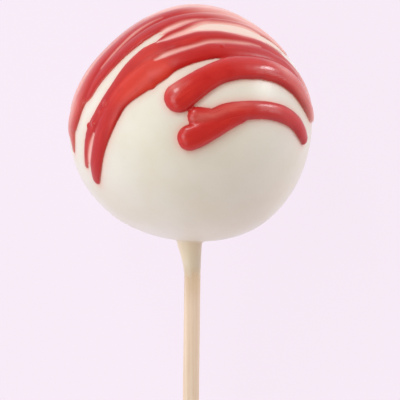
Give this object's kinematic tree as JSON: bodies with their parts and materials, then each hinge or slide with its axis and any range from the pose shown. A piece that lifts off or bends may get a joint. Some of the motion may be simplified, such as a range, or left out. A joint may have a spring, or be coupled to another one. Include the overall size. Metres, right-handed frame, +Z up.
{
  "type": "cake pop",
  "caption": "Round cake pop in smooth white candy coating, with raised red candy drizzle over its crown, on a thin round wooden stick, lying on its side.",
  "frame": {"origin": "centre of the small flat spot that the ball rests on, at floor level", "axes": "+Z up, out of the floor; +Y from the stick's far end towards the ball's crown, along the floor; +X to the right of the shown side, which faces up"},
  "size_m": [0.0456, 0.1684, 0.045],
  "materials": {
    "white_coating": "white candy coating, satin, warm cream in tone",
    "red_drizzle": "red candy drizzle, glossy, with soft rounded edges",
    "wood": "pale unfinished wood, matt, with fine fibres along the stick"
  },
  "bodies": {
    "root": {"ball": "white_coating", "stick": "wood"}
  },
  "joints": []
}
